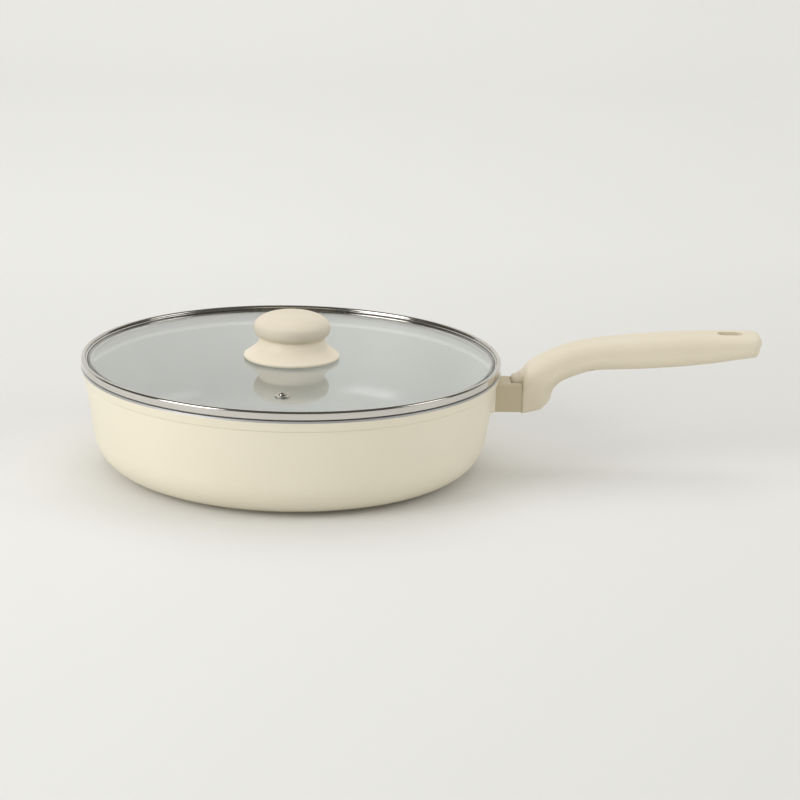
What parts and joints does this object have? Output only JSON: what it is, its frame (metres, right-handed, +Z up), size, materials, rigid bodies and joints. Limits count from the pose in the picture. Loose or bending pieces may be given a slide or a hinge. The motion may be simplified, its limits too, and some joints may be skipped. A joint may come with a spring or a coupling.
{
  "type": "lidded frying pan",
  "caption": "Low wide lidded pan with one long handle, domed glass lid in a steel band, mushroom knob and steam vent.",
  "frame": {"origin": "centre of the base, on the surface the pan stands on", "axes": "+Z up along the pan's axis, +X along the handle, away from the pan"},
  "size_m": [0.4693, 0.2894, 0.1096],
  "materials": {
    "pan_coating": "satin cream non-stick coating on cast aluminium",
    "base_steel": "brushed",
    "ferrule": "matt, moulded",
    "grip": "soft-touch matt",
    "fastener_steel": "plain",
    "lid_glass": "clear tempered",
    "band_steel": "polished",
    "seal": "translucent silicone",
    "knob_skirt": "soft-touch matt",
    "knob_cap": "soft-touch matt",
    "insert_brass": "plain"
  },
  "bodies": {
    "pan": {"pan_shell": "pan_coating", "induction_plate": "base_steel", "handle_ferrule": "ferrule", "handle_grip": "grip", "handle_washer": "fastener_steel", "handle_spring_washer": "fastener_steel", "handle_screw": "fastener_steel"},
    "lid": {"lid_glass": "lid_glass", "lid_rim_band": "band_steel", "vent_eyelet": "band_steel", "knob_seal_upper": "seal", "knob_seal_lower": "seal", "knob_skirt": "knob_skirt", "knob_cap": "knob_cap", "knob_insert": "insert_brass", "knob_washer": "fastener_steel", "knob_spring_washer": "fastener_steel", "knob_screw": "fastener_steel"}
  },
  "joints": [
    {"name": "lid_lift", "type": "slide", "parent": "pan", "child": "lid", "axis": [0, 0, 1], "range_m": [0, 0.12]}
  ]
}
